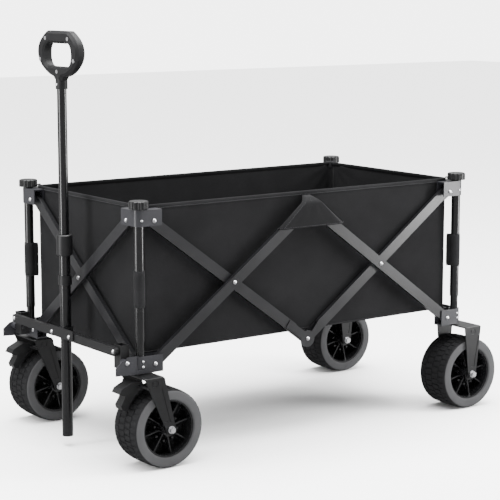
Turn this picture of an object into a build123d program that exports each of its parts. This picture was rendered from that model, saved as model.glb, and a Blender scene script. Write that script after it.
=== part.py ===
from build123d import *
import os
from math import atan2, hypot, pi, tan

# Folding camp wagon. X runs from the handle end (-X) to the rear, Y across,
# Z up. Every length is in millimetres. The bounding box stands centred on Z.

# Driving dimensions
wheel_r = 90.0
wheel_w = 93.0
post_dx = 934.0            # post spacing along the wagon
post_dy = 499.0            # post spacing across the wagon
pivot_in = 32.0            # bar pivot, inboard of the post axis
pivot_low = 233.0          # height of the lower bar pivots
pivot_top = 552.0          # height of the upper bar pivots
mid_x = -19.0              # middle of the four posts
grip_top = 958.0

# Bars
bar_w = 25.0
bar_t = 10.0
bar_wall = 1.2
outer_n = -0.5             # inner face of the outer bar layer, outward of the post axis
inner_n = -11.5            # inner face of the inner bar layer
ear_t = 2.5
knuckle_gap = 0.6
rivet_r = 3.0
head_r = 4.2
head_t = 2.0
fixed_gap = 0.05           # round a piece that is fixed
run_gap = 0.2              # round a piece that turns

# Posts and brackets
outer_r = 11.0
outer_bore = 9.8
inner_r = 9.5
inner_bore = 8.0
sleeve_r = 13.0
outer_tube_low = 285.0
inner_tube_top = 560.0
bracket_in = 52.0
plate_out = 10.5
plate_t = 2.5
plate_back = 12.5
back_t = 2.0
web_t = 3.0
top_z = (541.0, 577.0)
low_z = (215.0, 254.0)
boss_r = 8.0

knob_r = 22.0
knob_z = (580.0, 597.0)

# Casters
crown_top = 212.0
crown_t = 3.0
fork_y = 50.0
fork_t = 3.0
stem_r = 7.92
press_rim = 6.5
press_deep = 0.9
lever_pin = (-12.0, 190.0)     # from the post axis, and its height
paddle_y = 17.0                # half width of the upper paddle
axle_r = 5.0
bolt_end = 61.6
front_trail = 46.0
rear_trail = 18.0
hub_r = 65.0

# Tub
tub_out = 16.0             # tub face, inboard of the post axis
cloth_t = 3.0
tub_low = 253.0
end_low = 245.0                # the end walls hang over the edge of the floor
tub_top = 580.0
cloth_gap = 0.4

# Handle
arm_x = -41.0              # tilt axis, from the front posts
arm_z = 243.0
link_z = 266.0
link_w = 20.0
link_y = (39.5, 229.0)
link_x = (-57.0, -47.0)    # front and back faces of the links, from the front posts
pole_x = -44.0
pole_r = 12.5
pole_bore = 11.1
slider_r = 11.0
slider_bore = 9.4
pole_low = 24.0
collar_top = 497.0
collar_low = 449.0
clip_z = (381.0, 402.0)
hidden = 160.0             # upper pole inside the lower one
socket_low = 828.0
ring_low = 858.0
ring_w = 180.0
ring_t = 25.0
ring_h = 56.0                  # half the ring's height, before its top is cut flat
grip_z = 910.0                 # middle of the ring
hole_z = 905.0
hole_size = (122, 54)
hole_corner = 24
screws = [(-50, 941), (50, 941), (-75, 893), (75, 893), (0, 867)]

span = post_dx / 2 - pivot_in
reach = hypot(span, pivot_top - pivot_low)
lean = atan2(pivot_top - pivot_low, span)
fold = 40.0 * pi / 180
corners = {"fl": (-1, -1), "fr": (-1, 1), "rl": (1, -1), "rr": (1, 1)}
os.makedirs("parts", exist_ok=True)
front_x = mid_x - post_dx / 2


def save(part, name):
    part.label = name
    export_step(part, f"parts/{name}.step")


def post(code):
    sx, sy = corners[code]
    return mid_x + sx * post_dx / 2, sy * post_dy / 2


def place(code, a, b):
    # A point a inboard along X and b inboard along Y of a corner's post.
    sx, sy = corners[code]
    px, py = post(code)
    return px - sx * a, py - sy * b


def box(code, a, b, z, mode=Mode.ADD):
    x0, y0 = place(code, a[0], b[0])
    x1, y1 = place(code, a[1], b[1])
    with Locations(((x0 + x1) / 2, (y0 + y1) / 2, (z[0] + z[1]) / 2)):
        Box(abs(x1 - x0), abs(y1 - y0), z[1] - z[0], mode=mode)


def rod(start, end, radius, mode=Mode.ADD):
    a = Vector(*start)
    b = Vector(*end)
    with BuildSketch(Plane(origin=a, z_dir=b - a)) as section:
        Circle(radius)
    extrude(section.sketch, amount=(b - a).length, mode=mode)


def side_rod(code, a, z, b0, b1, radius, mode=Mode.ADD):
    rod((*place(code, a, b0), z), (*place(code, a, b1), z), radius, mode)


def end_rod(code, b, z, a0, a1, radius, mode=Mode.ADD):
    rod((*place(code, a0, b), z), (*place(code, a1, b), z), radius, mode)


def bracket(code, z, pivot, web_z, tube_r, side_outer, end_outer):
    # A sleeve on the post with a pair of cheeks for each bar it carries.
    px, py = post(code)
    with Locations((px, py, sum(z) / 2)):
        Cylinder(sleeve_r, z[1] - z[0])
    face = -(plate_out + plate_t)
    far = plate_back + back_t
    box(code, (0, bracket_in), (face, -plate_out), z)
    box(code, (face, -plate_out), (0, bracket_in), z)
    box(code, (plate_back, bracket_in), (plate_back, far), z)
    box(code, (plate_back, far), (plate_back, bracket_in), z)
    web = (web_z, web_z + web_t)
    box(code, (0, bracket_in), (face, far), web)
    box(code, (face, far), (0, bracket_in), web)
    for put, outer in ((side_rod, side_outer), (end_rod, end_outer)):
        low = -(outer_n + bar_t) if outer else -(inner_n + bar_t)
        high = -outer_n if outer else -inner_n
        put(code, pivot_in, pivot, -plate_out, low - run_gap, boss_r)
        put(code, pivot_in, pivot, high + run_gap, plate_back, boss_r)
        put(code, pivot_in, pivot, face, far, rivet_r + fixed_gap, Mode.SUBTRACT)
    with Locations((px, py, sum(z) / 2)):
        Cylinder(tube_r + fixed_gap, 2 * (z[1] - z[0]), mode=Mode.SUBTRACT)


def bracket_rivets(code, pivot):
    face = -(plate_out + plate_t + fixed_gap)
    far = plate_back + back_t
    for put in (side_rod, end_rod):
        put(code, pivot_in, pivot, face, far, rivet_r)
        put(code, pivot_in, pivot, face - head_t, face, head_r)


def tube(code, low, high, r, bore):
    px, py = post(code)
    with Locations((px, py, (low + high) / 2)):
        Cylinder(r, high - low)
        Cylinder(bore, high - low, mode=Mode.SUBTRACT)


def upper_post(code):
    end_outer = corners[code][1] < 0
    with BuildPart() as part:
        bracket(code, top_z, pivot_top, top_z[1] - web_t, outer_r, False, end_outer)
        bracket_rivets(code, pivot_top)
        tube(code, outer_tube_low, top_z[1], outer_r, outer_bore)
    save(part.part, f"{code}_upper_post")


def lower_post(code):
    end_outer = corners[code][1] > 0
    front = corners[code][0] < 0
    with BuildPart() as part:
        bracket(code, low_z, pivot_low, low_z[0], inner_r, True, end_outer)
        if front:
            handle_cheek(code)
        bracket_rivets(code, pivot_low)
        tube(code, low_z[0], inner_tube_top, inner_r, inner_bore)
        if front:
            face = -(plate_out + plate_t + fixed_gap)
            side_rod(code, arm_x, arm_z, face, 36.5, rivet_r)
            side_rod(code, arm_x, arm_z, face - head_t, face, head_r)
    save(part.part, f"{code}_lower_post")


def handle_cheek(code):
    # The outer cheek runs forward to carry the pin of the handle's arm.
    sy = corners[code][1]
    px, py = post(code)
    tip = -70.0
    start = Plane(origin=(px, py + sy * plate_out, 0), x_dir=(1, 0, 0), z_dir=(0, sy, 0))
    up = 1 if start.y_dir.Z > 0 else -1
    neck = low_z[0] + 9
    with BuildSketch(start) as cheek:
        outline = [(0, low_z[0]), (tip, low_z[0] + 3), (tip, 236), (-52, 250), (-45, 251), (-41, 257),
                   (-17, 257), (-17, neck), (0, neck)]
        Polygon(*[(u, up * v) for u, v in outline], align=None)
    extrude(cheek.sketch, amount=plate_t)
    side_rod(code, arm_x, arm_z, -plate_out, 6.0, boss_r)
    side_rod(code, arm_x, arm_z, -20, 20, rivet_r + fixed_gap, Mode.SUBTRACT)


def knob(code):
    px, py = post(code)
    with BuildPart() as part:
        with Locations((px, py, top_z[1] + 1.5)):
            Cylinder(12, 3)
        with Locations((px, py, (knob_z[0] + knob_z[1]) / 2)):
            Cylinder(knob_r, knob_z[1] - knob_z[0])
        fillet(part.edges().filter_by(GeomType.CIRCLE).sort_by(Axis.Z)[-1], 3.5)
        with Locations((px, py, knob_z[0])):
            with PolarLocations(knob_r + 2.2, 14):
                Cylinder(3.8, 60, mode=Mode.SUBTRACT)
    save(part.part, f"{code}_knob")


def fork(code):
    sx, sy = corners[code]
    px, py = post(code)
    front = sx < 0
    trail = front_trail if front else rear_trail
    crown = (-20, 30) if front else (-8, 45)
    ax = px + trail
    under = crown_top - crown_t
    face = Plane(origin=(0, py - fork_y - fork_t, 0), z_dir=(0, -1, 0), x_dir=(1, 0, 0))
    with BuildPart() as part:
        with BuildSketch(Plane.XY.offset(under)):
            with Locations((px + sum(crown) / 2, py)):
                RectangleRounded(crown[1] - crown[0], 2 * (fork_y + fork_t), 5)
        extrude(amount=crown_t)
        fillet(part.faces().sort_by(Axis.Z)[-1].edges(), 1.5)
        with BuildSketch(face):
            arm_outline(px, ax, crown, under + 1, 0)
        extrude(amount=-fork_t)
        with BuildSketch(face):
            arm_outline(px, ax, crown, under - 22, press_rim)
        extrude(amount=-press_deep, mode=Mode.SUBTRACT)
        with BuildSketch(face):
            with Locations((px + sum(crown) / 2, under - 10)):
                RectangleRounded(17, 14, 5)
                RectangleRounded(11, 9, 3, mode=Mode.SUBTRACT)
        extrude(amount=-press_deep, mode=Mode.SUBTRACT)
        mirror(about=Plane.XZ.offset(-py))
        with BuildSketch(Plane(origin=(0, py + fork_y + fork_t, 0), z_dir=(0, 1, 0), x_dir=(1, 0, 0))):
            with Locations((ax, -wheel_r)):
                Circle(4)
        extrude(amount=-fork_t)
        if front:
            rod((px, py, under), (px, py, 245), stem_r)
            lever = (px + lever_pin[0], lever_pin[1])
            rod((lever[0], py - 60, lever[1]), (lever[0], py + 60, lever[1]), 3.2, Mode.SUBTRACT)
        rod((ax, py - 60, wheel_r), (ax, py + 60, wheel_r), axle_r + fixed_gap, Mode.SUBTRACT)
    save(part.part, f"{code}_fork")
    return ax


def arm_outline(px, ax, crown, top, rim):
    # A tapering arm down to the axle. The pressed panel is the same, less a rim.
    foot = 90 if rim == 0 else 108
    half = 13 - rim
    lean_in = (ax - px - sum(crown) / 2) * (foot - wheel_r) / (top - wheel_r)
    low = [(ax - lean_in - half, foot), (ax - lean_in + half, foot)]
    Polygon((px + crown[0] + rim, top), *low, (px + crown[1] - rim, top), align=None)
    if rim == 0:
        with Locations((ax, wheel_r)):
            Circle(13)


def axle(code, ax):
    py = post(code)[1]
    with BuildPart() as part:
        face = fork_y + fork_t + fixed_gap
        rod((ax, py - face, wheel_r), (ax, py + face, wheel_r), axle_r)
        for side in (-1, 1):
            outer = Plane(origin=(ax, py + side * face, wheel_r), z_dir=(0, side, 0))
            with BuildSketch(outer):
                Circle(8.5)
            extrude(amount=2)
            with BuildSketch(outer.offset(2)):
                RegularPolygon(7, 6)
            extrude(amount=bolt_end - face - 2)
    save(part.part, f"{code}_axle")


def wheel(code, ax):
    py = post(code)[1]
    half = wheel_w / 2
    middle = Plane(origin=(ax, py, wheel_r), x_dir=(1, 0, 0), z_dir=(0, -1, 0))
    turned = Plane(origin=(ax, py, wheel_r), x_dir=(0, 1, 0), z_dir=(1, 0, 0))
    with BuildPart() as tyre:
        with BuildSketch(turned):
            with BuildLine():
                Polyline((-half + 4, hub_r), (half - 4, hub_r), (half, hub_r + 2), (half, wheel_r - 6),
                         (half - 2, wheel_r - 2), (half - 6, wheel_r), (-half + 6, wheel_r),
                         (-half + 2, wheel_r - 2), (-half, wheel_r - 6), (-half, hub_r + 2), close=True)
            make_face()
        revolve(axis=Axis((ax, py, wheel_r), (0, 1, 0)))
    save(tyre.part, f"{code}_tyre")
    with BuildPart() as hub:
        with BuildSketch(middle.offset(-half + 5)):
            Circle(hub_r - 0.05)
            Circle(hub_r - 3.5, mode=Mode.SUBTRACT)
        extrude(amount=2 * (half - 5))
        with BuildSketch(middle.offset(-4)):
            Circle(hub_r - 3)
        extrude(amount=8)
        with BuildSketch(middle.offset(-half + 2)):
            Circle(17)
        extrude(amount=2 * (half - 2))
        with BuildSketch(middle.offset(-half + 15)):
            with PolarLocations(38, 8, start_angle=12):
                Rectangle(48, 2.6)
            with PolarLocations(30, 8, start_angle=34):
                Circle(2.5)
        extrude(amount=2 * (half - 15))
        with BuildSketch(middle.offset(-half)):
            Circle(axle_r + run_gap)
        extrude(amount=2 * half, mode=Mode.SUBTRACT)
    save(hub.part, f"{code}_hub")


def brake(code):
    # A rocker with an upper and a lower paddle, on a pin between the arms.
    px, py = post(code)
    pin = (px + lever_pin[0], lever_pin[1])
    upper = [(-10, 198), (-32, 200), (-58, 188), (-64, 178), (-54, 173), (-40, 174), (-30, 179), (-8, 182)]
    lower = [(-30, 186), (-46, 178), (-48, 166), (-58, 150), (-55, 141), (-44, 140), (-30, 158), (-20, 172),
             (-8, 182)]
    with BuildPart() as part:
        with BuildSketch(Plane(origin=(0, py - paddle_y, 0), x_dir=(1, 0, 0), z_dir=(0, -1, 0))):
            with Locations(pin):
                Circle(8)
            Polygon(*[(px + x, z) for x, z in upper], align=None)
        extrude(amount=-2 * paddle_y)
        with BuildSketch(Plane(origin=(0, py - paddle_y + 4, 0), x_dir=(1, 0, 0), z_dir=(0, -1, 0))):
            Polygon(*[(px + x, z) for x, z in lower], align=None)
        extrude(amount=-2 * (paddle_y - 4))
        rod((pin[0], py - 52.5, pin[1]), (pin[0], py + 52.5, pin[1]), 3.0)
    save(part.part, f"{code}_brake_lever")


def outline(length, knuckle, inside):
    # A bar's outline, from its round end at u = 0 to its far pivot.
    half = bar_w / 2
    with Locations((0, 0)):
        Circle(half)
    if not knuckle:
        with Locations((length / 2, 0)):
            Rectangle(length, bar_w)
        with Locations((length, 0)):
            Circle(half)
        return
    inner = half / tan(pi / 2 - lean - fold)
    outer = half * tan(lean)
    end = length - knuckle_gap
    points = [(0, half), (end - inner, half), (end, 0), (end + outer, -half), (0, -half)]
    Polygon(*[(u, inside * v) for u, v in points], align=None)


def ear(plane, n0, length, radius):
    with BuildSketch(plane.offset(n0)) as shape:
        with Locations((length - 36, 0)):
            Rectangle(72, 20)
        with Locations((length, 0)):
            Circle(radius)
    extrude(shape.sketch, amount=ear_t)


def hole(plane, u, radius):
    with BuildSketch(plane.offset(-30)) as section:
        with Locations((u, 0)):
            Circle(radius)
    extrude(section.sketch, amount=60, mode=Mode.SUBTRACT)


def pin(plane, u, n0, n1):
    for start, size, radius in ((n0, n1 - n0, rivet_r), (n0 - 1.5, 1.5, head_r), (n1, head_t, head_r)):
        with BuildSketch(plane.offset(start)) as section:
            with Locations((u, 0)):
                Circle(radius)
        extrude(section.sketch, amount=size)


def bar(name, start, end, outward, outer, knuckle=None):
    # knuckle: "front" or "back" says which face carries the hinge ear.
    a = Vector(*start)
    b = Vector(*end)
    length = (b - a).length
    plane = Plane(origin=a, x_dir=(b - a).normalized(), z_dir=outward)
    inside = 1
    if knuckle:
        # The fold closes below an upper knuckle and above a lower one.
        closes = -1 if b.Z > a.Z else 1
        inside = 1 if plane.y_dir.Z * closes > 0 else -1
    n0 = outer_n if outer else inner_n
    n1 = n0 + bar_t
    with BuildPart() as part:
        with BuildSketch(plane.offset(n0)):
            outline(length, knuckle, inside)
        extrude(amount=bar_t)
        with BuildSketch(plane.offset(n0 + bar_wall)):
            with Locations((length / 2, 0)):
                Rectangle(length + 80, bar_w - 2 * bar_wall)
        extrude(amount=bar_t - 2 * bar_wall, mode=Mode.SUBTRACT)
        if knuckle:
            radius = 12.5 if outer or knuckle == "back" else 20.0
            ear(plane, n1 if knuckle == "front" else n0 - ear_t, length, radius)
        hole(plane, 0, rivet_r + run_gap)
        hole(plane, reach / 2, rivet_r + (fixed_gap if outer else run_gap))
        hole(plane, length, rivet_r + (fixed_gap if knuckle == "front" else run_gap))
        if outer:
            pin(plane, reach / 2, inner_n - fixed_gap, n1 + fixed_gap)
        if knuckle == "front":
            back = n0 - ear_t - fixed_gap
            pin(plane, length, back, n1 + ear_t + fixed_gap)
    save(part.part, name)


def side_bars(side, sy):
    y = sy * post_dy / 2
    out = (0, sy, 0)
    top = (mid_x, y, pivot_top)
    low = (mid_x, y, pivot_low)
    for end, sx in (("front", -1), ("rear", 1)):
        x = mid_x + sx * span
        face = "front" if sx < 0 else "back"
        bar(f"{side}_{end}_outer_bar", (x, y, pivot_low), top, out, True, face)
        bar(f"{side}_{end}_inner_bar", (x, y, pivot_top), low, out, False, face)


def end_bars(end, sx):
    x = mid_x + sx * post_dx / 2
    y = post_dy / 2 - pivot_in
    bar(f"{end}_inner_bar", (x, -y, pivot_low), (x, y, pivot_top), (sx, 0, 0), False)
    bar(f"{end}_outer_bar", (x, -y, pivot_top), (x, y, pivot_low), (sx, 0, 0), True)


def handle_arm(code):
    # A moulded box on the tilt pin. The left one holds its link's rivet.
    left = corners[code][1] < 0
    y = -link_y[1]
    head = front_x + link_x[0] - 0.1
    face = front_x + link_x[1] + 1.0
    with BuildPart() as part:
        box(code, (-46, -24), (6.5, 34.5), (227, 280))
        box(code, (-43, -27), (9, 32), (262, 300), Mode.SUBTRACT)
        side_rod(code, arm_x, arm_z, 0, 40, rivet_r + run_gap, Mode.SUBTRACT)
        if left:
            rod((face - 30, y, link_z), (face + 30, y, link_z), rivet_r + fixed_gap, Mode.SUBTRACT)
            rod((head, y, link_z), (face + 6, y, link_z), rivet_r)
            rod((head - head_t, y, link_z), (head, y, link_z), head_r)
    save(part.part, "left_handle_arm" if left else "right_handle_arm")


def handle_link(side, sy):
    with BuildPart() as part:
        plane = Plane(origin=(front_x + link_x[0], 0, link_z), x_dir=(0, 1, 0), z_dir=(1, 0, 0))
        with BuildSketch(plane):
            with Locations((sy * sum(link_y) / 2, 0)):
                SlotCenterToCenter(link_y[1] - link_y[0], link_w)
            with Locations((sy * link_y[0], 0), (sy * link_y[1], 0)):
                Circle(rivet_r + run_gap, mode=Mode.SUBTRACT)
        extrude(amount=link_x[1] - link_x[0])
        if sy > 0:
            # The open pivot: this rivet stops short of the right arm.
            head = front_x + link_x[0] - fixed_gap
            y = link_y[1]
            rod((head, y, link_z), (front_x + link_x[1] + 0.3, y, link_z), rivet_r)
            rod((head - head_t, y, link_z), (head, y, link_z), head_r)
            # Its outer end is cut flat, to pass inside the cheek as the wagon folds.
            with Locations((front_x + sum(link_x) / 2, y + link_w, link_z)):
                Box(link_w, link_w + 4, 2 * link_w, mode=Mode.SUBTRACT)
    save(part.part, f"{side}_handle_link")


def pole_bracket():
    face = front_x + link_x[0] - 0.5
    x = front_x + pole_x
    with BuildPart() as part:
        with BuildSketch(Plane(origin=(face - 2.5, 0, 270), x_dir=(0, 1, 0), z_dir=(1, 0, 0))):
            RectangleRounded(116, 24, 6)
            with Locations((-link_y[0], link_z - 270), (link_y[0], link_z - 270)):
                Circle(rivet_r + fixed_gap, mode=Mode.SUBTRACT)
        extrude(amount=2.5)
        with Locations((x, 0, 270)):
            Cylinder(16, 24)
            Cylinder(pole_r + fixed_gap, 24, mode=Mode.SUBTRACT)
        for y in (-link_y[0], link_y[0]):
            start = face - 2.5 - fixed_gap
            rod((start, y, link_z), (front_x + link_x[1] + 0.3, y, link_z), rivet_r)
            rod((start - head_t, y, link_z), (start, y, link_z), head_r)
            rod((front_x + link_x[1] + 0.3, y, link_z), (front_x + link_x[1] + 1.8, y, link_z), head_r)
    save(part.part, "pole_bracket")


def ring_piece(name, low, high, r, bore):
    x = front_x + pole_x
    with BuildPart() as part:
        with Locations((x, 0, (low + high) / 2)):
            Cylinder(r, high - low)
            Cylinder(bore, high - low, mode=Mode.SUBTRACT)
    save(part.part, name)


def pole_collar():
    x = front_x + pole_x
    with BuildPart() as part:
        with Locations((x, 0, (collar_low + collar_top) / 2)):
            Cylinder(18.5, collar_top - collar_low)
        chamfer(part.edges().filter_by(GeomType.CIRCLE), 2)
        with Locations((x, 0, (collar_low + 490) / 2)):
            Cylinder(pole_r + fixed_gap, 490 - collar_low, mode=Mode.SUBTRACT)
        with Locations((x, 0, collar_top)):
            Cylinder(slider_r + run_gap, 40, mode=Mode.SUBTRACT)
    save(part.part, "pole_collar")


def pole_clip():
    # A C-shaped spring clip, open towards the rear.
    x = front_x + pole_x
    with BuildPart() as part:
        with Locations((x, 0, sum(clip_z) / 2)):
            Cylinder(15.5, clip_z[1] - clip_z[0])
            Cylinder(pole_r + fixed_gap, clip_z[1] - clip_z[0], mode=Mode.SUBTRACT)
        with Locations((x + 14, 0, sum(clip_z) / 2)):
            Box(16, 15, 40, mode=Mode.SUBTRACT)
    save(part.part, "pole_clip")


def grip():
    # A rounded ring, flat on top, on a socket. It parts into two shells.
    x = front_x + pole_x
    middle = Plane(origin=(x, 0, 0), x_dir=(0, 1, 0), z_dir=(1, 0, 0))
    with BuildPart() as whole:
        with BuildSketch(middle.offset(-ring_t / 2)):
            with Locations((0, grip_z)):
                Ellipse(ring_w / 2, ring_h)
            with Locations((0, grip_top + ring_h / 2)):
                Rectangle(ring_w, ring_h, mode=Mode.SUBTRACT)
            Polygon((-30, 866), (30, 866), (12, 846), (-12, 846), align=None)
            with Locations((0, hole_z)):
                RectangleRounded(*hole_size, hole_corner, mode=Mode.SUBTRACT)
        extrude(amount=ring_t)
        for end in (0, -1):
            face = whole.faces().filter_by(Axis.X).sort_by(Axis.X)[end]
            chamfer(face.outer_wire().edges(), 6)
            face = whole.faces().filter_by(Axis.X).sort_by(Axis.X)[end]
            chamfer([e for wire in face.inner_wires() for e in wire.edges()], 4)
        for y in (-30, -15, 0, 15, 30):
            rod((x - 8, y, 933), (x + 8, y, 933), 3.2)
        with Locations((x, 0, (socket_low + 862) / 2)):
            Cylinder(13.5, 862 - socket_low)
        with Locations((x, 0, socket_low)):
            Cylinder(slider_r + fixed_gap, 2 * (ring_low - socket_low), mode=Mode.SUBTRACT)
        for y, z in screws:
            rod((x - 20, y, z), (x + 2, y, z), 2.05, Mode.SUBTRACT)
            rod((x - 20, y, z), (x - 10.9, y, z), 4.5, Mode.SUBTRACT)
    for name, side in (("grip_front", Keep.BOTTOM), ("grip_rear", Keep.TOP)):
        shift = -fixed_gap / 2 if side == Keep.BOTTOM else fixed_gap / 2
        with BuildPart() as half:
            add(whole.part)
            split(bisect_by=middle.offset(shift), keep=side)
        save(half.part, name)


def grip_screws():
    x = front_x + pole_x
    with BuildPart() as part:
        for y, z in screws:
            rod((x - 10.95, y, z), (x + 1.9, y, z), 2.0)
            rod((x - 13, y, z), (x - 10.95, y, z), 4.4)
    save(part.part, "grip_screws")


def panel(name, x, y, z):
    with BuildPart() as part:
        with Locations((sum(x) / 2, sum(y) / 2, sum(z) / 2)):
            Box(x[1] - x[0], y[1] - y[0], z[1] - z[0])
    save(part.part, name)


def tub():
    half_x = post_dx / 2 - tub_out
    half_y = post_dy / 2 - tub_out
    full = (mid_x - half_x, mid_x + half_x)
    z = (tub_low, tub_top)
    within = half_y - cloth_t - cloth_gap
    panel("tub_left_wall", full, (-half_y, -half_y + cloth_t), z)
    panel("tub_right_wall", full, (half_y - cloth_t, half_y), z)
    end_z = (end_low, tub_top)
    panel("tub_front_wall", (full[0], full[0] + cloth_t), (-within, within), end_z)
    panel("tub_rear_wall", (full[1] - cloth_t, full[1]), (-within, within), end_z)
    inside = (full[0] + cloth_t + cloth_gap, full[1] - cloth_t - cloth_gap)
    floor_z = (tub_low, tub_low + 4)
    panel("tub_floor_left", inside, (-within, -cloth_gap / 2), floor_z)
    panel("tub_floor_right", inside, (cloth_gap / 2, within), floor_z)


for corner in corners:
    upper_post(corner)
    lower_post(corner)
    knob(corner)
    wheel_x = fork(corner)
    axle(corner, wheel_x)
    wheel(corner, wheel_x)
for corner in ("fl", "fr"):
    brake(corner)
    handle_arm(corner)
for side_name, sign in (("left", -1), ("right", 1)):
    side_bars(side_name, sign)
    handle_link(side_name, sign)
end_bars("front", -1)
end_bars("rear", 1)
pole_bracket()
ring_piece("lower_pole", pole_low, 490, pole_r, pole_bore)
pole_collar()
pole_clip()
ring_piece("upper_pole", collar_top - hidden, ring_low - fixed_gap, slider_r, slider_bore)
grip()
grip_screws()
tub()
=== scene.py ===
# %% [markdown]
# # A folding camp wagon
# The frame of the wagon, with its posts, scissor bars, brackets, casters and
# handle, arrives as finished metal and plastic parts. This lesson dresses it:
# a sewn cloth tub, moulded tyres with tread blocks, domed rivets, stitches,
# and a finish for every part. It starts with the frame itself.

# %% The frame
import math

import bmesh
import bpy
import numpy as np
from mathutils import Euler, Matrix, Vector, noise


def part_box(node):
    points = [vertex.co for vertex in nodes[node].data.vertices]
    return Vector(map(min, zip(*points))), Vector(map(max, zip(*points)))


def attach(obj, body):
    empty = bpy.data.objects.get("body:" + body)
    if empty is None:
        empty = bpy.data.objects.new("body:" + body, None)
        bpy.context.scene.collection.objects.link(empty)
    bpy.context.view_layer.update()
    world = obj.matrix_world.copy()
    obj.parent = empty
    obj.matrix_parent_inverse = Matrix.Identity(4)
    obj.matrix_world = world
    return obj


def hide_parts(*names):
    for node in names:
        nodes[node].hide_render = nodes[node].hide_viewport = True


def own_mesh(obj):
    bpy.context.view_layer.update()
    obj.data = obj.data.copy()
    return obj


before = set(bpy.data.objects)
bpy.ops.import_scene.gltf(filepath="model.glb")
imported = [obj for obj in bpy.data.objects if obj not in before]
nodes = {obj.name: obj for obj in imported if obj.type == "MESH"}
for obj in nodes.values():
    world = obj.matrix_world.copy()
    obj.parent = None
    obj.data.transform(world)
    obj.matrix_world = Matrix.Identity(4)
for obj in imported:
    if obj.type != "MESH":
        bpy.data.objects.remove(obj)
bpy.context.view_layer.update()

# %% [markdown]
# ## Sizes
# Lengths are in metres. The posts' places come from the frame's own boxes, so
# the cloth and the rivets land on the parts they belong to. What the boxes
# can't say, such as a hem's width, is named here.

# %% Sizes
MM = 0.001
CORNERS = ("fl", "fr", "rl", "rr")
SIGN = {"fl": (-1, -1), "fr": (-1, 1), "rl": (1, -1), "rr": (1, 1)}


def box_of(name):
    low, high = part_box(name)
    return Vector(low), Vector(high)


def middle(name):
    low, high = box_of(name)
    return (low + high) / 2


post = {c: Vector((middle(f"{c}_knob").x, middle(f"{c}_knob").y, 0)) for c in CORNERS}
mid_x = (post["fl"].x + post["rl"].x) / 2
pivot_in = 32 * MM
low_pivot = 233 * MM
top_pivot = 552 * MM
tub_low, tub_high = box_of("tub_left_wall")
rim = 584 * MM
tub_half_y = -tub_low.y
tub_front = tub_low.x
tub_rear = tub_high.x
cloth_t = 1.4 * MM
tape_h = 10 * MM
print("posts", {c: tuple(round(v, 4) for v in p[:2]) for c, p in post.items()})

# %% [markdown]
# ## Building materials from nodes
# Every finish below is a Principled shader fed by a few texture nodes. One
# helper adds a node, sets it and links it, so each material reads as a list.
# Colours are written as the hex values a designer would pick and turned to
# linear light, because that is what the shader works in.

# %% Material helpers
def linear(code, alpha=1.0):
    values = [int(code[i:i + 2], 16) / 255 for i in (1, 3, 5)]
    return [v / 12.92 if v <= 0.04045 else ((v + 0.055) / 1.055) ** 2.4 for v in values] + [alpha]


def add(tree, kind, inputs=None, **settings):
    made = tree.nodes.new(kind)
    for key, value in settings.items():
        setattr(made, key, value)
    for key, value in (inputs or {}).items():
        socket = made.inputs[key]
        if isinstance(value, bpy.types.NodeSocket):
            tree.links.new(value, socket)
        else:
            socket.default_value = value
    return made


def new_material(name, colour, roughness, metallic=0.0, **sockets):
    material = bpy.data.materials.new(name)
    material.use_nodes = True
    tree = material.node_tree
    shader = tree.nodes["Principled BSDF"]
    shader.inputs["Base Color"].default_value = linear(colour)
    shader.inputs["Roughness"].default_value = roughness
    shader.inputs["Metallic"].default_value = metallic
    for key, value in sockets.items():
        shader.inputs[key.replace("_", " ")].default_value = value
    material.diffuse_color = linear(colour)
    where = add(tree, "ShaderNodeTexCoord").outputs["Object"]
    return material, tree, shader, where


def tint(tree, shader, mask, dark, light, socket="Base Color"):
    mixed = add(tree, "ShaderNodeMix", {"Factor": mask, "A": dark, "B": light}, data_type="RGBA")
    tree.links.new(mixed.outputs["Result"], shader.inputs[socket])


def vary_roughness(tree, shader, mask, low, high):
    ranged = add(tree, "ShaderNodeMapRange", {"Value": mask, "To Min": low, "To Max": high})
    tree.links.new(ranged.outputs["Result"], shader.inputs["Roughness"])


def bump(tree, shader, height, strength, distance):
    made = add(tree, "ShaderNodeBump", {"Height": height, "Strength": strength, "Distance": distance})
    tree.links.new(made.outputs["Normal"], shader.inputs["Normal"])


def speckle(tree, where, size, detail=2.0, roughness=0.5):
    # Noise whose grains are about `size` metres across.
    made = add(tree, "ShaderNodeTexNoise", {"Vector": where, "Scale": 1 / size, "Detail": detail,
                                            "Roughness": roughness})
    return made.outputs["Fac"]


# %% [markdown]
# ## Oxford cloth
# The tub is 600-denier polyester with a coated back. Real threads are 0.5 mm
# apart, too fine to show at this distance, so the weave is drawn at 2.4 mm:
# two sets of bands cross, and their product is the little pillow where one
# thread passes over another. Broad noise gives the dusty, uneven black of
# dyed cloth, and sheen lifts the edges that turn away.

# %% Cloth
THREAD = 2.4 * MM


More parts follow.
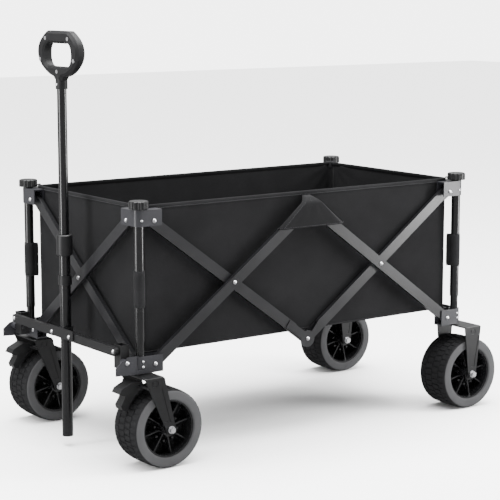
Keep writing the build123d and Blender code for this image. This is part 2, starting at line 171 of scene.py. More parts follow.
def cloth(name, dark, light, floor=False):
    material, tree, shader, where = new_material(name, dark, 0.85, Sheen_Weight=0.02, Sheen_Roughness=0.4,
                                                Specular_IOR_Level=0.08)
    split = add(tree, "ShaderNodeSeparateXYZ", {"Vector": where}).outputs
    across = add(tree, "ShaderNodeMath", {0: split["X"], 1: split["Y"]}, operation="ADD").outputs[0]
    up = split["Z"]
    if floor:
        up = add(tree, "ShaderNodeMath", {0: split["X"], 1: split["Y"]}, operation="SUBTRACT").outputs[0]
    waves = []
    for value in (across, up):
        turn = add(tree, "ShaderNodeMath", {0: value, 1: 2 * math.pi / THREAD}, operation="MULTIPLY")
        waves.append(add(tree, "ShaderNodeMath", {0: turn.outputs[0]}, operation="SINE").outputs[0])
    weave = add(tree, "ShaderNodeMath", {0: waves[0], 1: waves[1]}, operation="MULTIPLY").outputs[0]
    fuzz = speckle(tree, where, 5 * MM, 4.0, 0.7)
    dust = speckle(tree, where, 90 * MM, 3.0)
    lift = add(tree, "ShaderNodeMath", {0: weave, 1: 0.12, 2: fuzz}, operation="MULTIPLY_ADD").outputs[0]
    mask = add(tree, "ShaderNodeMath", {0: lift, 1: dust}, operation="MULTIPLY").outputs[0]
    spread = add(tree, "ShaderNodeMapRange", {"Value": mask, "From Min": 0.12, "From Max": 0.42})
    tint(tree, shader, spread.outputs["Result"], linear(dark), linear(light))
    vary_roughness(tree, shader, fuzz, 0.72, 0.92)
    height = add(tree, "ShaderNodeMath", {0: fuzz, 1: 0.6, 2: weave}, operation="MULTIPLY_ADD").outputs[0]
    bump(tree, shader, height, 0.35, 0.3 * MM)
    return material


side_cloth = cloth("oxford_polyester_side", "#0B0B0C", "#121213")
end_cloth = cloth("oxford_polyester_end", "#0C0C0D", "#131314")
lining = cloth("coated_cloth_lining", "#0E0E0F", "#161617")
floor_cloth = cloth("coated_cloth_floor", "#0E0E0F", "#161617", floor=True)
webbing = cloth("woven_binding_tape", "#101011", "#1A1A1B")
loop_tape = cloth("hook_and_loop_tape", "#0F0F10", "#19191A")

# %% [markdown]
# ## Metal, rubber and plastic
# Powder coat is paint melted on: satin, with a faint orange-peel skin. The
# round tubes carry a glossier coat. Zinc plate on rivets and bolts is bright
# and slightly smeared. The tread is matt foamed rubber, its side wall a paler
# grey, and the wheels are glossy ABS. Knobs, arms and grip are moulded nylon
# with a fine spark-eroded grain.

# %% Hard finishes
def coated(name, dark, light, rough, peel, shine=0.25):
    material, tree, shader, where = new_material(name, dark, rough, Specular_IOR_Level=shine)
    skin = speckle(tree, where, 2.5 * MM, 1.0)
    broad = speckle(tree, where, 60 * MM, 2.0)
    tint(tree, shader, broad, linear(dark), linear(light))
    vary_roughness(tree, shader, broad, rough - 0.05, rough + 0.07)
    bump(tree, shader, skin, peel, 0.1 * MM)
    return material


def moulded(name, dark, light, rough, grain, strength, shine=0.2):
    material, tree, shader, where = new_material(name, dark, rough, Specular_IOR_Level=shine)
    fine = speckle(tree, where, grain, 3.0, 0.65)
    worn = speckle(tree, where, 30 * MM, 4.0, 0.6)
    tint(tree, shader, worn, linear(dark), linear(light))
    vary_roughness(tree, shader, fine, rough - 0.08, rough + 0.1)
    bump(tree, shader, fine, strength, 0.15 * MM)
    return material


bar_coat = coated("satin_grey_powder_coat", "#101011", "#161618", 0.3, 0.12, 0.3)
link_coat = coated("satin_black_powder_coat", "#0B0B0C", "#131314", 0.4, 0.12, 0.2)
bracket_coat = coated("satin_bracket_powder_coat", "#1A1A1D", "#242427", 0.34, 0.15, 0.3)
tube_coat = coated("gloss_black_powder_coat", "#060607", "#0B0B0C", 0.2, 0.08, 0.4)
fork_coat = coated("black_stamped_steel_coat", "#09090A", "#0F0F10", 0.32, 0.12, 0.3)
nylon = moulded("black_glass_filled_nylon", "#09090A", "#111112", 0.42, 0.9 * MM, 0.2, 0.25)
grip_rubber = moulded("soft_touch_grip", "#0B0B0C", "#141415", 0.5, 0.8 * MM, 0.2, 0.15)
tread = moulded("foamed_rubber_tread", "#0C0C0D", "#161617", 0.85, 1.6 * MM, 0.5, 0.1)
side_wall = moulded("foamed_rubber_side_wall", "#2C2C2D", "#373738", 0.8, 1.6 * MM, 0.3, 0.15)
hub_gloss = moulded("gloss_black_abs", "#0D0D0E", "#151516", 0.24, 3.0 * MM, 0.04, 0.4)


def plated(name, colour):
    material, tree, shader, where = new_material(name, colour, 0.28, 1.0)
    smear = speckle(tree, where, 4 * MM, 3.0)
    tint(tree, shader, smear, linear("#B9B9BC"), linear(colour))
    vary_roughness(tree, shader, smear, 0.2, 0.36)
    return material


zinc = plated("bright_zinc_plate", "#E6E6E8")
print(len(bpy.data.materials), "materials")

# %% [markdown]
# ## Finishes on the frame's own parts
# Each carried-over part keeps its shape and gets a finish in its material slots. A corner post is one node
# that holds a grey bracket, a black tube and rivets, so its faces are shared out by height alone, between
# the bracket's grey coat and the tube's black one.

# %% Finishes by node
FINISHES = (("_knob", nylon), ("_hub", hub_gloss), ("_axle", zinc), ("grip_screws", zinc),
            ("grip_", grip_rubber), ("_fork", fork_coat), ("_brake_lever", nylon), ("_arm", nylon),
            ("_collar", nylon), ("_clip", nylon), ("_bar", bar_coat), ("_link", link_coat),
            ("pole_bracket", link_coat), ("_pole", tube_coat))


def dress(name, *finishes):
    mesh = nodes[name].data
    mesh.materials.clear()
    for finish in finishes:
        mesh.materials.append(finish)
    return mesh


TOP_BRACKET_LOW = 541 * MM
LOW_BRACKET_HIGH = 254 * MM


def finish_posts(corner):
    for name in (f"{corner}_upper_post", f"{corner}_lower_post"):
        mesh = dress(name, bracket_coat, tube_coat)
        top = name.endswith("upper_post")
        limit = TOP_BRACKET_LOW if top else LOW_BRACKET_HIGH
        for face in mesh.polygons:
            below = face.center.z < limit
            face.material_index = int(below == top)


for corner in CORNERS:
    finish_posts(corner)
for name in nodes:
    found = [finish for part, finish in FINISHES if part in name]
    if found and not name.endswith("_post"):
        dress(name, found[0])

# %% [markdown]
# ## From arrays to meshes
# The cloth walls and tapes are grids of points, so one helper turns a grid
# into a mesh and another thickens it. Shade smooth is set on the faces, and
# the object stays at the origin with its place in its points.

# %% Mesh helpers
def from_grid(name, grid, finish, closed=False, smooth=True):
    rows, columns = grid.shape[:2]
    faces = []
    for i in range(rows - 1):
        for j in range(columns if closed else columns - 1):
            k = (j + 1) % columns
            faces.append((i * columns + j, i * columns + k, (i + 1) * columns + k, (i + 1) * columns + j))
    mesh = bpy.data.meshes.new(name)
    mesh.from_pydata(grid.reshape(-1, 3).tolist(), [], faces)
    mesh.polygons.foreach_set("use_smooth", [smooth] * len(faces))
    mesh.materials.append(finish)
    made = bpy.data.objects.new(name, mesh)
    bpy.context.scene.collection.objects.link(made)
    return made


def freeze(made):
    # Apply every modifier and leave a plain mesh behind.
    bpy.context.view_layer.update()
    evaluated = made.evaluated_get(bpy.context.evaluated_depsgraph_get())
    mesh = bpy.data.meshes.new_from_object(evaluated)
    made.modifiers.clear()
    made.data = mesh
    return made


def outward(made):
    work = bmesh.new()
    work.from_mesh(made.data)
    bmesh.ops.recalc_face_normals(work, faces=work.faces)
    work.to_mesh(made.data)
    work.free()
    return made


def thicken(made, thickness, inner=None):
    # Grow to both sides by half, with the lining as the second material.
    solid = made.modifiers.new("thickness", "SOLIDIFY")
    solid.thickness = thickness
    solid.offset = 0
    if inner:
        made.data.materials.append(inner)
        solid.material_offset = 1
        solid.material_offset_rim = 0
    return freeze(made)


# %% [markdown]
# ## The tub's walls
# Each wall is one panel of cloth hung from its two corner posts. It is pulled
# tight at the rim and the welt and is loose between, so it is pushed inwards
# by soft noise that fades out at the edges, and by short folds that fan out
# of the upper corners, where the weight hangs. The long walls turn the
# corner with a small radius, so the tub reads as one sewn bag.

# %% Wall shape
CORNER_R = 12 * MM
WALL_ROWS = 46
FAN_TURNS = 15
FAN_REACH = 110 * MM
FAN_START = 30 * MM
FAN_EDGE = 25 * MM


def wall_path(long_side, sign):
    # Points along the wall at rim height, seen from above.
    points = []
    y = tub_half_y - cloth_t / 2
    if long_side:
        for turn in np.linspace(90, 0, 7)[:-1]:
            a = math.radians(turn)
            points.append((tub_front + CORNER_R - CORNER_R * math.sin(a),
                           y - CORNER_R + CORNER_R * math.cos(a)))
        for x in np.linspace(tub_front + CORNER_R, tub_rear - CORNER_R, 180):
            points.append((x, y))
        for turn in np.linspace(0, 90, 7)[1:]:
            a = math.radians(turn)
            points.append((tub_rear - CORNER_R + CORNER_R * math.sin(a),
                           y - CORNER_R + CORNER_R * math.cos(a)))
        return np.array([(px, sign * py) for px, py in points])
    x = tub_front if sign < 0 else tub_rear
    inner = y - CORNER_R
    return np.array([(x, py) for py in np.linspace(-inner, inner, 92)])


def wall_grid(path, seed, looseness, low):
    steps = np.linspace(0, 1, WALL_ROWS)
    centre = np.array([mid_x, 0.0])
    along = np.gradient(path, axis=0)
    along /= np.linalg.norm(along, axis=1)[:, None]
    normal = np.stack([-along[:, 1], along[:, 0]], axis=1)
    flip = np.sign(((centre - path) * normal).sum(axis=1))
    normal *= flip[:, None]
    run = np.concatenate([[0], np.cumsum(np.linalg.norm(np.diff(path, axis=0), axis=1))])
    grid = np.zeros((WALL_ROWS, len(path), 3))
    for i, t in enumerate(steps):
        z = low + (rim - 4 * MM - low) * t
        for j, (x, y) in enumerate(path):
            s = run[j]
            edge = min(s, run[-1] - s)
            hold = math.sin(math.pi * t) ** 0.7 * min(1, edge / (60 * MM))
            soft = 0.5 + 0.5 * noise.noise(Vector((s * 9, z * 7, seed)))
            fine = 0.5 + 0.5 * noise.noise(Vector((s * 26 + z * 9, z * 15, seed + 5)))
            reach = math.hypot(edge, rim - z)
            angle = math.atan2(rim - z, edge + 1e-6)
            ray = 0.5 + 0.5 * math.sin(angle * FAN_TURNS + seed)
            fan = ray * math.exp(-reach / FAN_REACH) * min(1, reach / FAN_START)
            slack = looseness * (2.6 * soft + 0.9 * fine) * MM * hold
            push = slack + 2.2 * MM * fan * min(1, edge / FAN_EDGE)
            grid[i, j] = (x + normal[j, 0] * push, y + normal[j, 1] * push, z)
    return grid


def squash_along(piece, long_side):
    # Give the piece a mesh of its own, for long and end walls alike.
    if long_side:
        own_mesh(piece)
    else:
        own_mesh(piece)


WALLS = {
    "left": (True, -1, "fl_upper", side_cloth, 1.0),
    "right": (True, 1, "fr_upper", side_cloth, 2.0),
    "front": (False, -1, "fl_upper", end_cloth, 3.0),
    "rear": (False, 1, "rl_upper", end_cloth, 4.0),
}

# %% [markdown]
# ## Tapes, welts and stitches
# A folded tape binds the rim, and a thin welt closes the bottom seam. Both are short profiles carried along
# the wall's path. The stitches on the rim tape are a row of small beads made by Geometry Nodes: a path is
# resampled at the stitch spacing and one bead is laid on each point, turned along the seam.

# %% Profiles along a path
def carried(name, path, profile, finish, height):
    # profile: (outward, up) pairs round a closed section.
    centre = np.array([mid_x, 0.0])
    along = np.gradient(path, axis=0)
    along /= np.linalg.norm(along, axis=1)[:, None]
    normal = np.stack([along[:, 1], -along[:, 0]], axis=1)
    normal *= -np.sign(((centre - path) * normal).sum(axis=1))[:, None]
    grid = np.zeros((len(path), len(profile), 3))
    for j, (out, up) in enumerate(profile):
        grid[:, j, :2] = path + normal * out
        grid[:, j, 2] = height + up
    made = from_grid(name, grid, finish, closed=True)
    cap_ends(made)
    return outward(made)


def cap_ends(made):
    work = bmesh.new()
    work.from_mesh(made.data)
    edges = [edge for edge in work.edges if edge.is_boundary]
    bmesh.ops.holes_fill(work, edges=edges)
    work.to_mesh(made.data)
    work.free()


def rounded(width, height, steps=5):
    # A flat section with a half-round top and a square foot.
    points = [(-width / 2, 0), (width / 2, 0)]
    for turn in np.linspace(0, math.pi, steps + 2):
        points.append((width / 2 * math.cos(turn), height - width / 2 + width / 2 * math.sin(turn)))
    return points


def round_section(radius, steps=10):
    return [(radius * math.cos(a), radius * math.sin(a)) for a in np.arange(steps) * 2 * math.pi / steps]


# %% A tree for stitches
def interface(tree, kind, name, socket, value=None):
    made = tree.interface.new_socket(name=name, in_out=kind, socket_type=socket)
    if value is not None:
        made.default_value = value
    return made


def stitch_tree():
    tree = bpy.data.node_groups.new("stitch_row", "GeometryNodeTree")
    interface(tree, "INPUT", "Geometry", "NodeSocketGeometry")
    interface(tree, "INPUT", "Spacing", "NodeSocketFloat", 5 * MM)
    interface(tree, "INPUT", "Bead Length", "NodeSocketFloat", 3.4 * MM)
    interface(tree, "INPUT", "Bead Width", "NodeSocketFloat", 0.9 * MM)
    interface(tree, "INPUT", "Thread", "NodeSocketMaterial")
    interface(tree, "OUTPUT", "Geometry", "NodeSocketGeometry")
    given = tree.nodes.new("NodeGroupInput").outputs
    line = add(tree, "GeometryNodeMeshToCurve", {"Mesh": given["Geometry"]})
    even = add(tree, "GeometryNodeResampleCurve", {"Curve": line.outputs[0], "Length": given["Spacing"]},
               mode="LENGTH")
    tangent = add(tree, "GeometryNodeInputTangent")
    turn = add(tree, "FunctionNodeAlignEulerToVector", {"Vector": tangent.outputs[0]}, axis="X")
    bead = add(tree, "GeometryNodeMeshIcoSphere", {"Radius": 1.0, "Subdivisions": 1})
    size = add(tree, "ShaderNodeCombineXYZ", {"X": given["Bead Length"], "Y": given["Bead Width"],
                                              "Z": given["Bead Width"]})
    half = add(tree, "ShaderNodeVectorMath", {0: size.outputs[0], "Scale": 0.5}, operation="SCALE")
    laid = add(tree, "GeometryNodeInstanceOnPoints", {"Points": even.outputs[0], "Instance": bead.outputs[0],
                                                      "Rotation": turn.outputs[0], "Scale": half.outputs[0]})
    real = add(tree, "GeometryNodeRealizeInstances", {"Geometry": laid.outputs[0]})
    painted = add(tree, "GeometryNodeSetMaterial", {"Geometry": real.outputs[0],
                                                    "Material": given["Thread"]})
    add(tree, "NodeGroupOutput", {"Geometry": painted.outputs[0]})
    return tree


def grow(made, tree, **values):
    # Run a Geometry Nodes tree on an object and keep the plain result.
    modifier = made.modifiers.new(tree.name, "NODES")
    modifier.node_group = tree
    for item in tree.interface.items_tree:
        key = item.name.replace(" ", "_")
        if item.in_out == "INPUT" and key in values:
            modifier[item.identifier] = values[key]
    return freeze(made)


def from_lines(name, lines):
    mesh = bpy.data.meshes.new(name)
    points = []
    edges = []
    for line in lines:
        start = len(points)
        points += [tuple(p) for p in line]
        edges += [(start + i, start + i + 1) for i in range(len(line) - 1)]
    mesh.from_pydata(points, edges, [])
    made = bpy.data.objects.new(name, mesh)
    bpy.context.scene.collection.objects.link(made)
    return made


stitches = stitch_tree()
thread = moulded("polyester_thread", "#2A2A2C", "#3A3A3C", 0.6, 2 * MM, 0.1)

# %% Make the walls
TAPE_T = 3.4 * MM
WELT_R = 2.0 * MM
declared = []
for name, (long_side, sign, body, finish, seed) in WALLS.items():
    path = wall_path(long_side, sign)
    low = box_of(f"tub_{name}_wall")[0].z
    grid = wall_grid(path, seed, 1.0, low)
    wall = from_grid(f"{name}_wall_cloth", grid, finish)
    outward_face = wall.data.polygons[len(wall.data.polygons) // 2]
    away = Vector((outward_face.center.x - mid_x, outward_face.center.y, 0))
    if outward_face.normal.dot(away) < 0:
        wall.data.flip_normals()
    thicken(wall, cloth_t, lining)
    tape = carried(f"{name}_rim_tape", path, rounded(TAPE_T, tape_h), webbing, rim - tape_h)
    welt = carried(f"{name}_bottom_welt", path, round_section(WELT_R), webbing, low + WELT_R + 0.5 * MM)
    shifted = np.concatenate([path, np.full((len(path), 1), rim - tape_h + 2 * MM)], axis=1)
    step = TAPE_T / 2 + 0.1 * MM
    if long_side:
        shifted[:, 1] += sign * step
    else:
        shifted[:, 0] += sign * step
    lines = [shifted[6:-6] if long_side else shifted]
    seam = grow(from_lines(f"{name}_seam_stitches", lines), stitches, Spacing=5 * MM, Bead_Length=3.4 * MM,
                Bead_Width=0.9 * MM, Thread=thread)
    run = float(np.linalg.norm(np.diff(path, axis=0), axis=1).sum())
    for piece in (wall, tape, welt, seam):
        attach(piece, body)
        squash_along(piece, long_side)
    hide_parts(f"tub_{name}_wall")
    declared.append((wall.name, round(run, 3)))
print("walls", declared)

# %% [markdown]
# ## The floor
# The floor is two stiffened halves that meet on a centre line and fold
# upwards with the wagon. Each is a shallow quilted board under cloth, with a
# sewn edge, so it dips a little between its seams.

# %% The floor halves
def floor_half(side, sign):
    low, high = box_of(f"tub_floor_{side}")
    xs = np.linspace(low.x, high.x, 90)
    ys = np.linspace(low.y, high.y, 30)
    grid = np.zeros((len(ys), len(xs), 3))
    for i, y in enumerate(ys):
        for j, x in enumerate(xs):
            edge = min(x - low.x, high.x - x, y - low.y, high.y - y)
            soft = noise.noise(Vector((x * 8, y * 8, 9.0 + sign)))
            rise = min(1, edge / (12 * MM)) * (0.8 + 0.7 * soft) * MM
            grid[i, j] = (x, y, high.z - 1.6 * MM + rise)
    board = from_grid(f"floor_{side}_board", grid, floor_cloth)
    if board.data.polygons[0].normal.z < 0:
        board.data.flip_normals()
    thicken(board, 2.2 * MM)
    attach(board, f"floor_{side}")
    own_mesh(board)
    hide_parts(f"tub_floor_{side}")


floor_half("left", -1)
floor_half("right", 1)

# %% [markdown]
# ## Flaps, sleeves and tabs
# A triangular flap of tub cloth covers the upper knuckle on each long side.
# On each post a hook-and-loop sleeve wraps the tube and ties the tub to it,
# and at the rim a short tab runs from the tub's corner to the knob that
# clamps it.

# %% Flap over the upper knuckle
def flap(side, sign):
    base_z, apex_z = 502 * MM, 574 * MM
    half_base, half_apex = 97 * MM, 9 * MM
    face = post["fr"].y + 16 * MM
    rows, columns = 16, 41
    grid = np.zeros((rows, columns, 3))
    for i, t in enumerate(np.linspace(0, 1, rows)):
        half = half_base + (half_apex - half_base) * t
        z = base_z + (apex_z - base_z) * t
        for j, u in enumerate(np.linspace(-1, 1, columns)):
            tuck = 10 * MM * max(0, (abs(u) - 0.82) / 0.18) ** 2
            top = 24 * MM * max(0, (t - 0.78) / 0.22) ** 1.5
            ripple = 0.8 * MM * noise.noise(Vector((u * 3, t * 2, sign)))
            grid[i, j] = (mid_x + 3 * MM + half * u, sign * (face - tuck - top + ripple), z)
    made = from_grid(f"{side}_knuckle_flap", grid, side_cloth)
    if made.data.polygons[rows * columns // 2].normal.y * sign < 0:
        made.data.flip_normals()
    thicken(made, 1.6 * MM, lining)
    hem = [grid[0] + np.array([0, sign * 1.2 * MM, 3 * MM]),
           grid[1:-3, 2] + np.array([0, sign * 1.3 * MM, 0]),
           grid[1:-3, -3] + np.array([0, sign * 1.3 * MM, 0])]
    seam = grow(from_lines(f"{side}_flap_stitches", hem), stitches, Spacing=5 * MM, Bead_Length=3.4 * MM,
                Bead_Width=0.9 * MM, Thread=thread)
    for piece in (made, seam):
        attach(piece, "fl_upper" if sign < 0 else "fr_upper")
        squash_along(piece, True)


flap("left", -1)
flap("right", 1)


# %% Sleeve and tab at each post
def sleeve_section(corner, radius, reach):
    # A loop round the post whose two layers run on to the tub's corner.
    sx, sy = SIGN[corner]
    inward = math.atan2(-sy, -sx)
    points = []
    open_half = math.radians(14)
    for turn in np.linspace(open_half, 2 * math.pi - open_half, 30):
        a = inward + turn
        points.append((radius * math.cos(a), radius * math.sin(a)))
    thick = 1.6 * MM
    tail = [(reach, -thick / 2), (reach, thick / 2)]
    c, s = math.cos(inward), math.sin(inward)
    ends = [(c * u - s * v, s * u + c * v) for u, v in tail]
    return points + ends


def sleeve(corner):
    low, high = 362 * MM, 443 * MM
    outline = sleeve_section(corner, 12.0 * MM, 21 * MM)
    rows = np.linspace(low, high, 12)
    grid = np.zeros((len(rows), len(outline), 3))
    for i, z in enumerate(rows):
        edge = min(z - low, high - z)
        swell = 1 + 0.05 * min(1, edge / (8 * MM)) + 0.02 * noise.noise(Vector((z * 60, 1.0, 2.0)))
        for j, (x, y) in enumerate(outline):
            grid[i, j] = (post[corner].x + x * swell, post[corner].y + y * swell, z)
    made = from_grid(f"{corner}_post_sleeve", grid, loop_tape, closed=True)
    cap_ends(made)
    outward(made)
    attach(made, f"{corner}_upper")


def corner_tab(corner):
    # From under the knob, over the rim, down the outside of the tub's corner.
    sx, sy = SIGN[corner]
    inward = Vector((-sx, -sy, 0)).normalized()
    side = Vector((-inward.y, inward.x, 0))
    spine = [(6, 580.2), (14, 580.8), (20, 583.0), (24.5, 585.2), (28, 584.2), (29, 576), (29, 566)]
    half = 13 * MM
    grid = np.zeros((len(spine), 9, 3))
    for i, (out, z) in enumerate(spine):
        for j, u in enumerate(np.linspace(-1, 1, 9)):
            at = post[corner] + inward * (out * MM) + side * (half * u)
            grid[i, j] = (at.x, at.y, z * MM)
    made = from_grid(f"{corner}_corner_tab", grid, webbing)
    solid = made.modifiers.new("thickness", "SOLIDIFY")
    solid.thickness = 1.8 * MM
    smooth = made.modifiers.new("smooth", "SUBSURF")
    smooth.levels = smooth.render_levels = 1
    outward(freeze(made))
    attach(made, f"{corner}_upper")


for corner in CORNERS:
    sleeve(corner)
    corner_tab(corner)

# %% [markdown]
# ## Tyres
# Each tyre is a turned profile with a pale side wall, a shoulder and a dark
# crown. The tread is blocks in staggered rows, laid round the crown by
# Geometry Nodes from a ring of points, so the count and the block's size are
# two inputs, not a drawing.

# %% Tread tree
def tread_tree():
    tree = bpy.data.node_groups.new("tread_blocks", "GeometryNodeTree")
    interface(tree, "INPUT", "Geometry", "NodeSocketGeometry")
    interface(tree, "INPUT", "Count", "NodeSocketInt", 34)
    interface(tree, "INPUT", "Radius", "NodeSocketFloat", 88 * MM)
    interface(tree, "INPUT", "Offset", "NodeSocketFloat", 0.0)
    interface(tree, "INPUT", "Phase", "NodeSocketFloat", 0.0)
    interface(tree, "INPUT", "Block", "NodeSocketVector", (11 * MM, 22 * MM, 4 * MM))
    interface(tree, "INPUT", "Rubber", "NodeSocketMaterial")
    interface(tree, "OUTPUT", "Geometry", "NodeSocketGeometry")
    given = tree.nodes.new("NodeGroupInput").outputs
    ring = add(tree, "GeometryNodeMeshCircle", {"Vertices": given["Count"], "Radius": given["Radius"]})
    spin = add(tree, "ShaderNodeCombineXYZ", {"Z": given["Phase"]})
    slide = add(tree, "ShaderNodeCombineXYZ", {"Z": given["Offset"]})
    turned = add(tree, "GeometryNodeTransform", {"Geometry": ring.outputs[0], "Rotation": spin.outputs[0],
                                                 "Translation": slide.outputs[0]})
    where = add(tree, "GeometryNodeInputPosition")
    flat = add(tree, "ShaderNodeVectorMath", {0: where.outputs[0], 1: (1, 1, 0)}, operation="MULTIPLY")
    lean = add(tree, "FunctionNodeAlignEulerToVector", {"Vector": flat.outputs[0]}, axis="X")
    cube = add(tree, "GeometryNodeMeshCube", {"Size": given["Block"]})
    laid = add(tree, "GeometryNodeInstanceOnPoints", {"Points": turned.outputs[0],
                                                      "Instance": cube.outputs[0],
                                                      "Rotation": lean.outputs[0]})
    real = add(tree, "GeometryNodeRealizeInstances", {"Geometry": laid.outputs[0]})
    painted = add(tree, "GeometryNodeSetMaterial", {"Geometry": real.outputs[0],
                                                    "Material": given["Rubber"]})
    add(tree, "NodeGroupOutput", {"Geometry": painted.outputs[0]})
    return tree


# %% Make the tyres
blocks = tread_tree()
TYRE_PROFILE = [(42.5, 65.2), (46.0, 66.2), (46.4, 69), (46.4, 83.0), (45.4, 86.0), (42, 87.6),
                (20, 87.8), (0, 87.8)]
SIDE_WALL_TOP = 84.5 * MM
BLOCK_COUNT = 38
ROWS = ((-33.8, 0.0, 19), (-11.3, 0.5, 20.5), (11.3, 0.0, 20.5), (33.8, 0.5, 19))


def place_wheel(made, centre):
    # Turn a shape built round Z so that it spins round Y at the axle.
    turn = Euler((math.radians(90), 0, 0)).to_matrix().to_4x4()
    made.data.transform(Matrix.Translation(centre) @ turn)
    made.data.update()


def tyre(corner):
    centre = middle(f"{corner}_tyre")
    half = TYRE_PROFILE + [(-w, r) for w, r in TYRE_PROFILE[-2::-1]]
    ring = half + [(-40, 65.0), (40, 65.0)]
    turns = np.arange(96) * 2 * math.pi / 96
    grid = np.array([[(r * MM * math.cos(a), r * MM * math.sin(a), w * MM) for w, r in ring] for a in turns])
    grid = np.concatenate([grid, grid[:1]])
    made = from_grid(f"{corner}_tyre_body", grid, tread, closed=True)
    made.data.materials.append(side_wall)
    for face in made.data.polygons:
        far = math.hypot(face.center.x, face.center.y)
        face.material_index = int(far < SIDE_WALL_TOP and abs(face.center.z) > 42 * MM)
    work = bmesh.new()
    work.from_mesh(made.data)
    bmesh.ops.remove_doubles(work, verts=work.verts, dist=1e-6)
    bmesh.ops.recalc_face_normals(work, faces=work.faces)
    work.to_mesh(made.data)
    work.free()
    place_wheel(made, centre)
    pieces = [made]
    for row, (offset, phase, length) in enumerate(ROWS):
        seed = from_lines(f"{corner}_tread_row_{row}", [[(0, 0, 0), (0, 0, MM)]])
        block = (4.4 * MM, 11.6 * MM, length * MM)
        lug = grow(seed, blocks, Count=BLOCK_COUNT, Radius=87.6 * MM, Offset=offset * MM,
                   Phase=phase * 2 * math.pi / BLOCK_COUNT, Block=block, Rubber=tread)
        for point in lug.data.vertices:
            # Bend the outer end of each shoulder block down over the shoulder.
            past = max(0, abs(point.co.z) - 38 * MM)
            flat = Vector((point.co.x, point.co.y, 0))
            point.co -= flat.normalized() * past * 0.35
        bevel = lug.modifiers.new("edge", "BEVEL")
        bevel.width = 0.9 * MM
        bevel.segments = 1
        freeze(lug)
        place_wheel(lug, centre)
        pieces.append(lug)
    for piece in pieces:
        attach(piece, f"{corner}_wheel")
    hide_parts(f"{corner}_tyre")


for corner in CORNERS:
    tyre(corner)

# %% [markdown]
# ## Rivets
# The pivots are closed with domed rivet heads. They repeat on every body, so
# one tree lays a flattened ball on each point, turned to face the way the
# point's stored direction says, and each body gets one mesh of its own.

# %% Rivet tree
def rivet_tree():
    tree = bpy.data.node_groups.new("domed_rivets", "GeometryNodeTree")
    interface(tree, "INPUT", "Geometry", "NodeSocketGeometry")
    interface(tree, "INPUT", "Head", "NodeSocketVector", (5.2 * MM, 5.2 * MM, 3.2 * MM))
    interface(tree, "INPUT", "Metal", "NodeSocketMaterial")
    interface(tree, "OUTPUT", "Geometry", "NodeSocketGeometry")
    given = tree.nodes.new("NodeGroupInput").outputs
    way = add(tree, "GeometryNodeInputNamedAttribute", {"Name": "facing"}, data_type="FLOAT_VECTOR")
    turn = add(tree, "FunctionNodeAlignEulerToVector", {"Vector": way.outputs[0]}, axis="Z")
    ball = add(tree, "GeometryNodeMeshUVSphere", {"Segments": 20, "Rings": 10, "Radius": 1.0})
    smooth = add(tree, "GeometryNodeSetShadeSmooth", {"Geometry": ball.outputs[0]})
    laid = add(tree, "GeometryNodeInstanceOnPoints", {"Points": given["Geometry"],
                                                      "Instance": smooth.outputs[0],
                                                      "Rotation": turn.outputs[0], "Scale": given["Head"]})
    real = add(tree, "GeometryNodeRealizeInstances", {"Geometry": laid.outputs[0]})
    painted = add(tree, "GeometryNodeSetMaterial", {"Geometry": real.outputs[0], "Material": given["Metal"]})
    add(tree, "NodeGroupOutput", {"Geometry": painted.outputs[0]})
    return tree


rivets = rivet_tree()
heads = {}


def rivet(body, at, facing, size=1.0):
    heads.setdefault((body, size), []).append((Vector(at), Vector(facing)))


PLATE = 13.05 * MM
OUTER = 9.55 * MM
SMALL = 0.55
LINK_Z = 266 * MM
LINK_END_Y = 229 * MM
LINK_START_Y = 39.5 * MM
for corner in CORNERS:
    sx, sy = SIGN[corner]
    px, py = post[corner].x, post[corner].y
    for body, z in ((f"{corner}_upper", top_pivot), (f"{corner}_lower", low_pivot)):
        rivet(body, (px - sx * pivot_in, py + sy * PLATE, z), (0, sy, 0))
        rivet(body, (px + sx * PLATE, py - sy * pivot_in, z), (sx, 0, 0))
    rivet(f"{corner}_upper", (px, py + sy * PLATE, top_pivot + 2 * MM), (0, sy, 0), SMALL)
    for z in (low_pivot - 3 * MM, low_pivot + 9 * MM):
        rivet(f"{corner}_lower", (px, py + sy * PLATE, z), (0, sy, 0), SMALL)
    if sx < 0:
        rivet(f"{corner}_lower", (px - 41 * MM, py + sy * PLATE, 243 * MM), (0, sy, 0))
middle_z = (low_pivot + top_pivot) / 2
span = post["rl"].x - mid_x - pivot_in
for side, sy in (("left", -1), ("right", 1)):
    y = post["fr"].y
    for end, sx in (("front", -1), ("rear", 1)):
        rivet(f"{side}_{end}_outer", (mid_x + sx * span / 2, sy * (y + OUTER), middle_z), (0, sy, 0))
    rivet(f"{side}_front_outer", (mid_x, sy * (y + OUTER + 2.5 * MM), top_pivot), (0, sy, 0))
    rivet(f"{side}_front_inner", (mid_x, sy * (y + 1.05 * MM), low_pivot), (0, sy, 0))
    link_x = box_of("left_handle_link")[0].x
    holder = "left_arm" if sy < 0 else "right_link"
    rivet(holder, (link_x - 0.1 * MM, sy * LINK_END_Y, LINK_Z), (-1, 0, 0))
    plate_x = box_of("pole_bracket")[0].x + 2 * MM
    rivet("pole", (plate_x, sy * LINK_START_Y, LINK_Z), (-1, 0, 0))
grip_face = box_of("grip_front")[0].x
rivet("slider", (grip_face + 0.6 * MM, 0, 838 * MM), (-1, 0, 0), SMALL)
for end, corner, sx in (("front", "fl", -1), ("rear", "rl", 1)):
    rivet(f"{end}_end_outer", (post[corner].x + sx * OUTER, 0, middle_z), (sx, 0, 0))

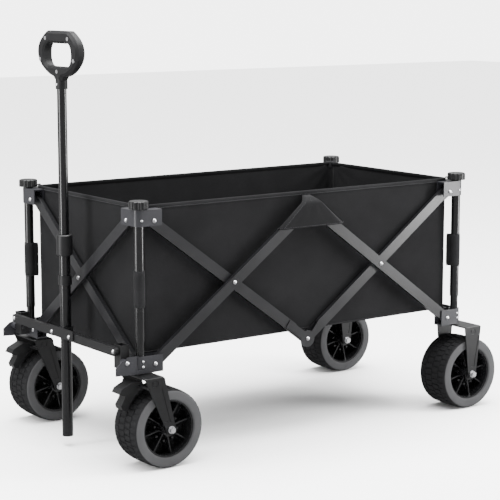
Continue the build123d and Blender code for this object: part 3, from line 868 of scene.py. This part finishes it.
for (body, size), items in heads.items():
    kind = "rivets" if size == 1.0 else "small_rivets"
    mesh = bpy.data.meshes.new(f"{body}_{kind}")
    mesh.from_pydata([tuple(at) for at, _ in items], [], [])
    facing = mesh.attributes.new("facing", "FLOAT_VECTOR", "POINT")
    for i, (_, way) in enumerate(items):
        facing.data[i].vector = way
    made = bpy.data.objects.new(f"{body}_{kind}", mesh)
    bpy.context.scene.collection.objects.link(made)
    grow(made, rivets, Head=[v * size * MM for v in (5.2, 5.2, 3.2)], Metal=zinc)
    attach(made, body)

# %% [markdown]
# ## Studio
# A pale floor and a white backdrop. Black objects are lit by what they mirror,
# so the surround is bright where it is seen and dim where it is mirrored. Two
# tall softboxes draw the long bright lines down the round posts. A large one
# overhead and a wide, very soft sky light the floor and the bars' top edges.

# %% Floor, light and camera
def soft_box(name, at, target, size, watts):
    light = bpy.data.lights.new(name, "AREA")
    light.shape = "RECTANGLE"
    light.size, light.size_y = size
    light.energy = watts
    made = bpy.data.objects.new(name, light)
    made.location = at
    made.rotation_euler = (Vector(target) - Vector(at)).to_track_quat("-Z", "Y").to_euler()
    made.visible_camera = False
    bpy.context.scene.collection.objects.link(made)


floor_mesh = bpy.data.meshes.new("studio_floor")
floor_mesh.from_pydata([(-14, -14, 0), (14, -14, 0), (14, 14, 0), (-14, 14, 0)], [], [(0, 1, 2, 3)])
studio_floor = bpy.data.objects.new("studio_floor", floor_mesh)
bpy.context.scene.collection.objects.link(studio_floor)
floor_mesh.materials.append(new_material("pale_studio_paper", "#FAFAFA", 0.95)[0])
studio_floor.visible_glossy = False

world = bpy.data.worlds.new("studio")
world.use_nodes = True
backdrop = world.node_tree.nodes["Background"]
backdrop.inputs["Color"].default_value = (1, 1, 1, 1)
seen = add(world.node_tree, "ShaderNodeLightPath").outputs["Is Camera Ray"]
level = add(world.node_tree, "ShaderNodeMapRange", {"Value": seen, "To Min": 0.8, "To Max": 5.0})
world.node_tree.links.new(level.outputs["Result"], backdrop.inputs["Strength"])
bpy.context.scene.world = world
soft_box("left_box", (-1.95, 0.25, 0.95), (mid_x, 0, 0.6), (0.5, 1.8), 50)
soft_box("right_box", (1.5, -1.3, 0.95), (mid_x, 0, 0.6), (0.5, 1.8), 85)
soft_box("top_box", (0.0, 0.0, 3.6), (0, 0, 0), (3.6, 3.0), 420)
sky = bpy.data.lights.new("overhead_sky", "SUN")
sky.energy = 9.0
sky.angle = math.radians(80)
overhead = bpy.data.objects.new("overhead_sky", sky)
bpy.context.scene.collection.objects.link(overhead)

CAMERA_YAW, CAMERA_PITCH = -35.9, -9.1
CAMERA_AT = (mid_x - 2.3589, -3.2756, 1.0594)
CAMERA_LENS = 119.2
camera = bpy.data.objects.new("camera", bpy.data.cameras.new("camera"))
camera.data.sensor_width = 36
camera.data.lens = CAMERA_LENS
camera.data.clip_end = 60
camera.location = CAMERA_AT
camera.rotation_euler = (math.radians(90 + CAMERA_PITCH), 0, math.radians(CAMERA_YAW))
bpy.context.scene.collection.objects.link(camera)
bpy.context.scene.camera = camera
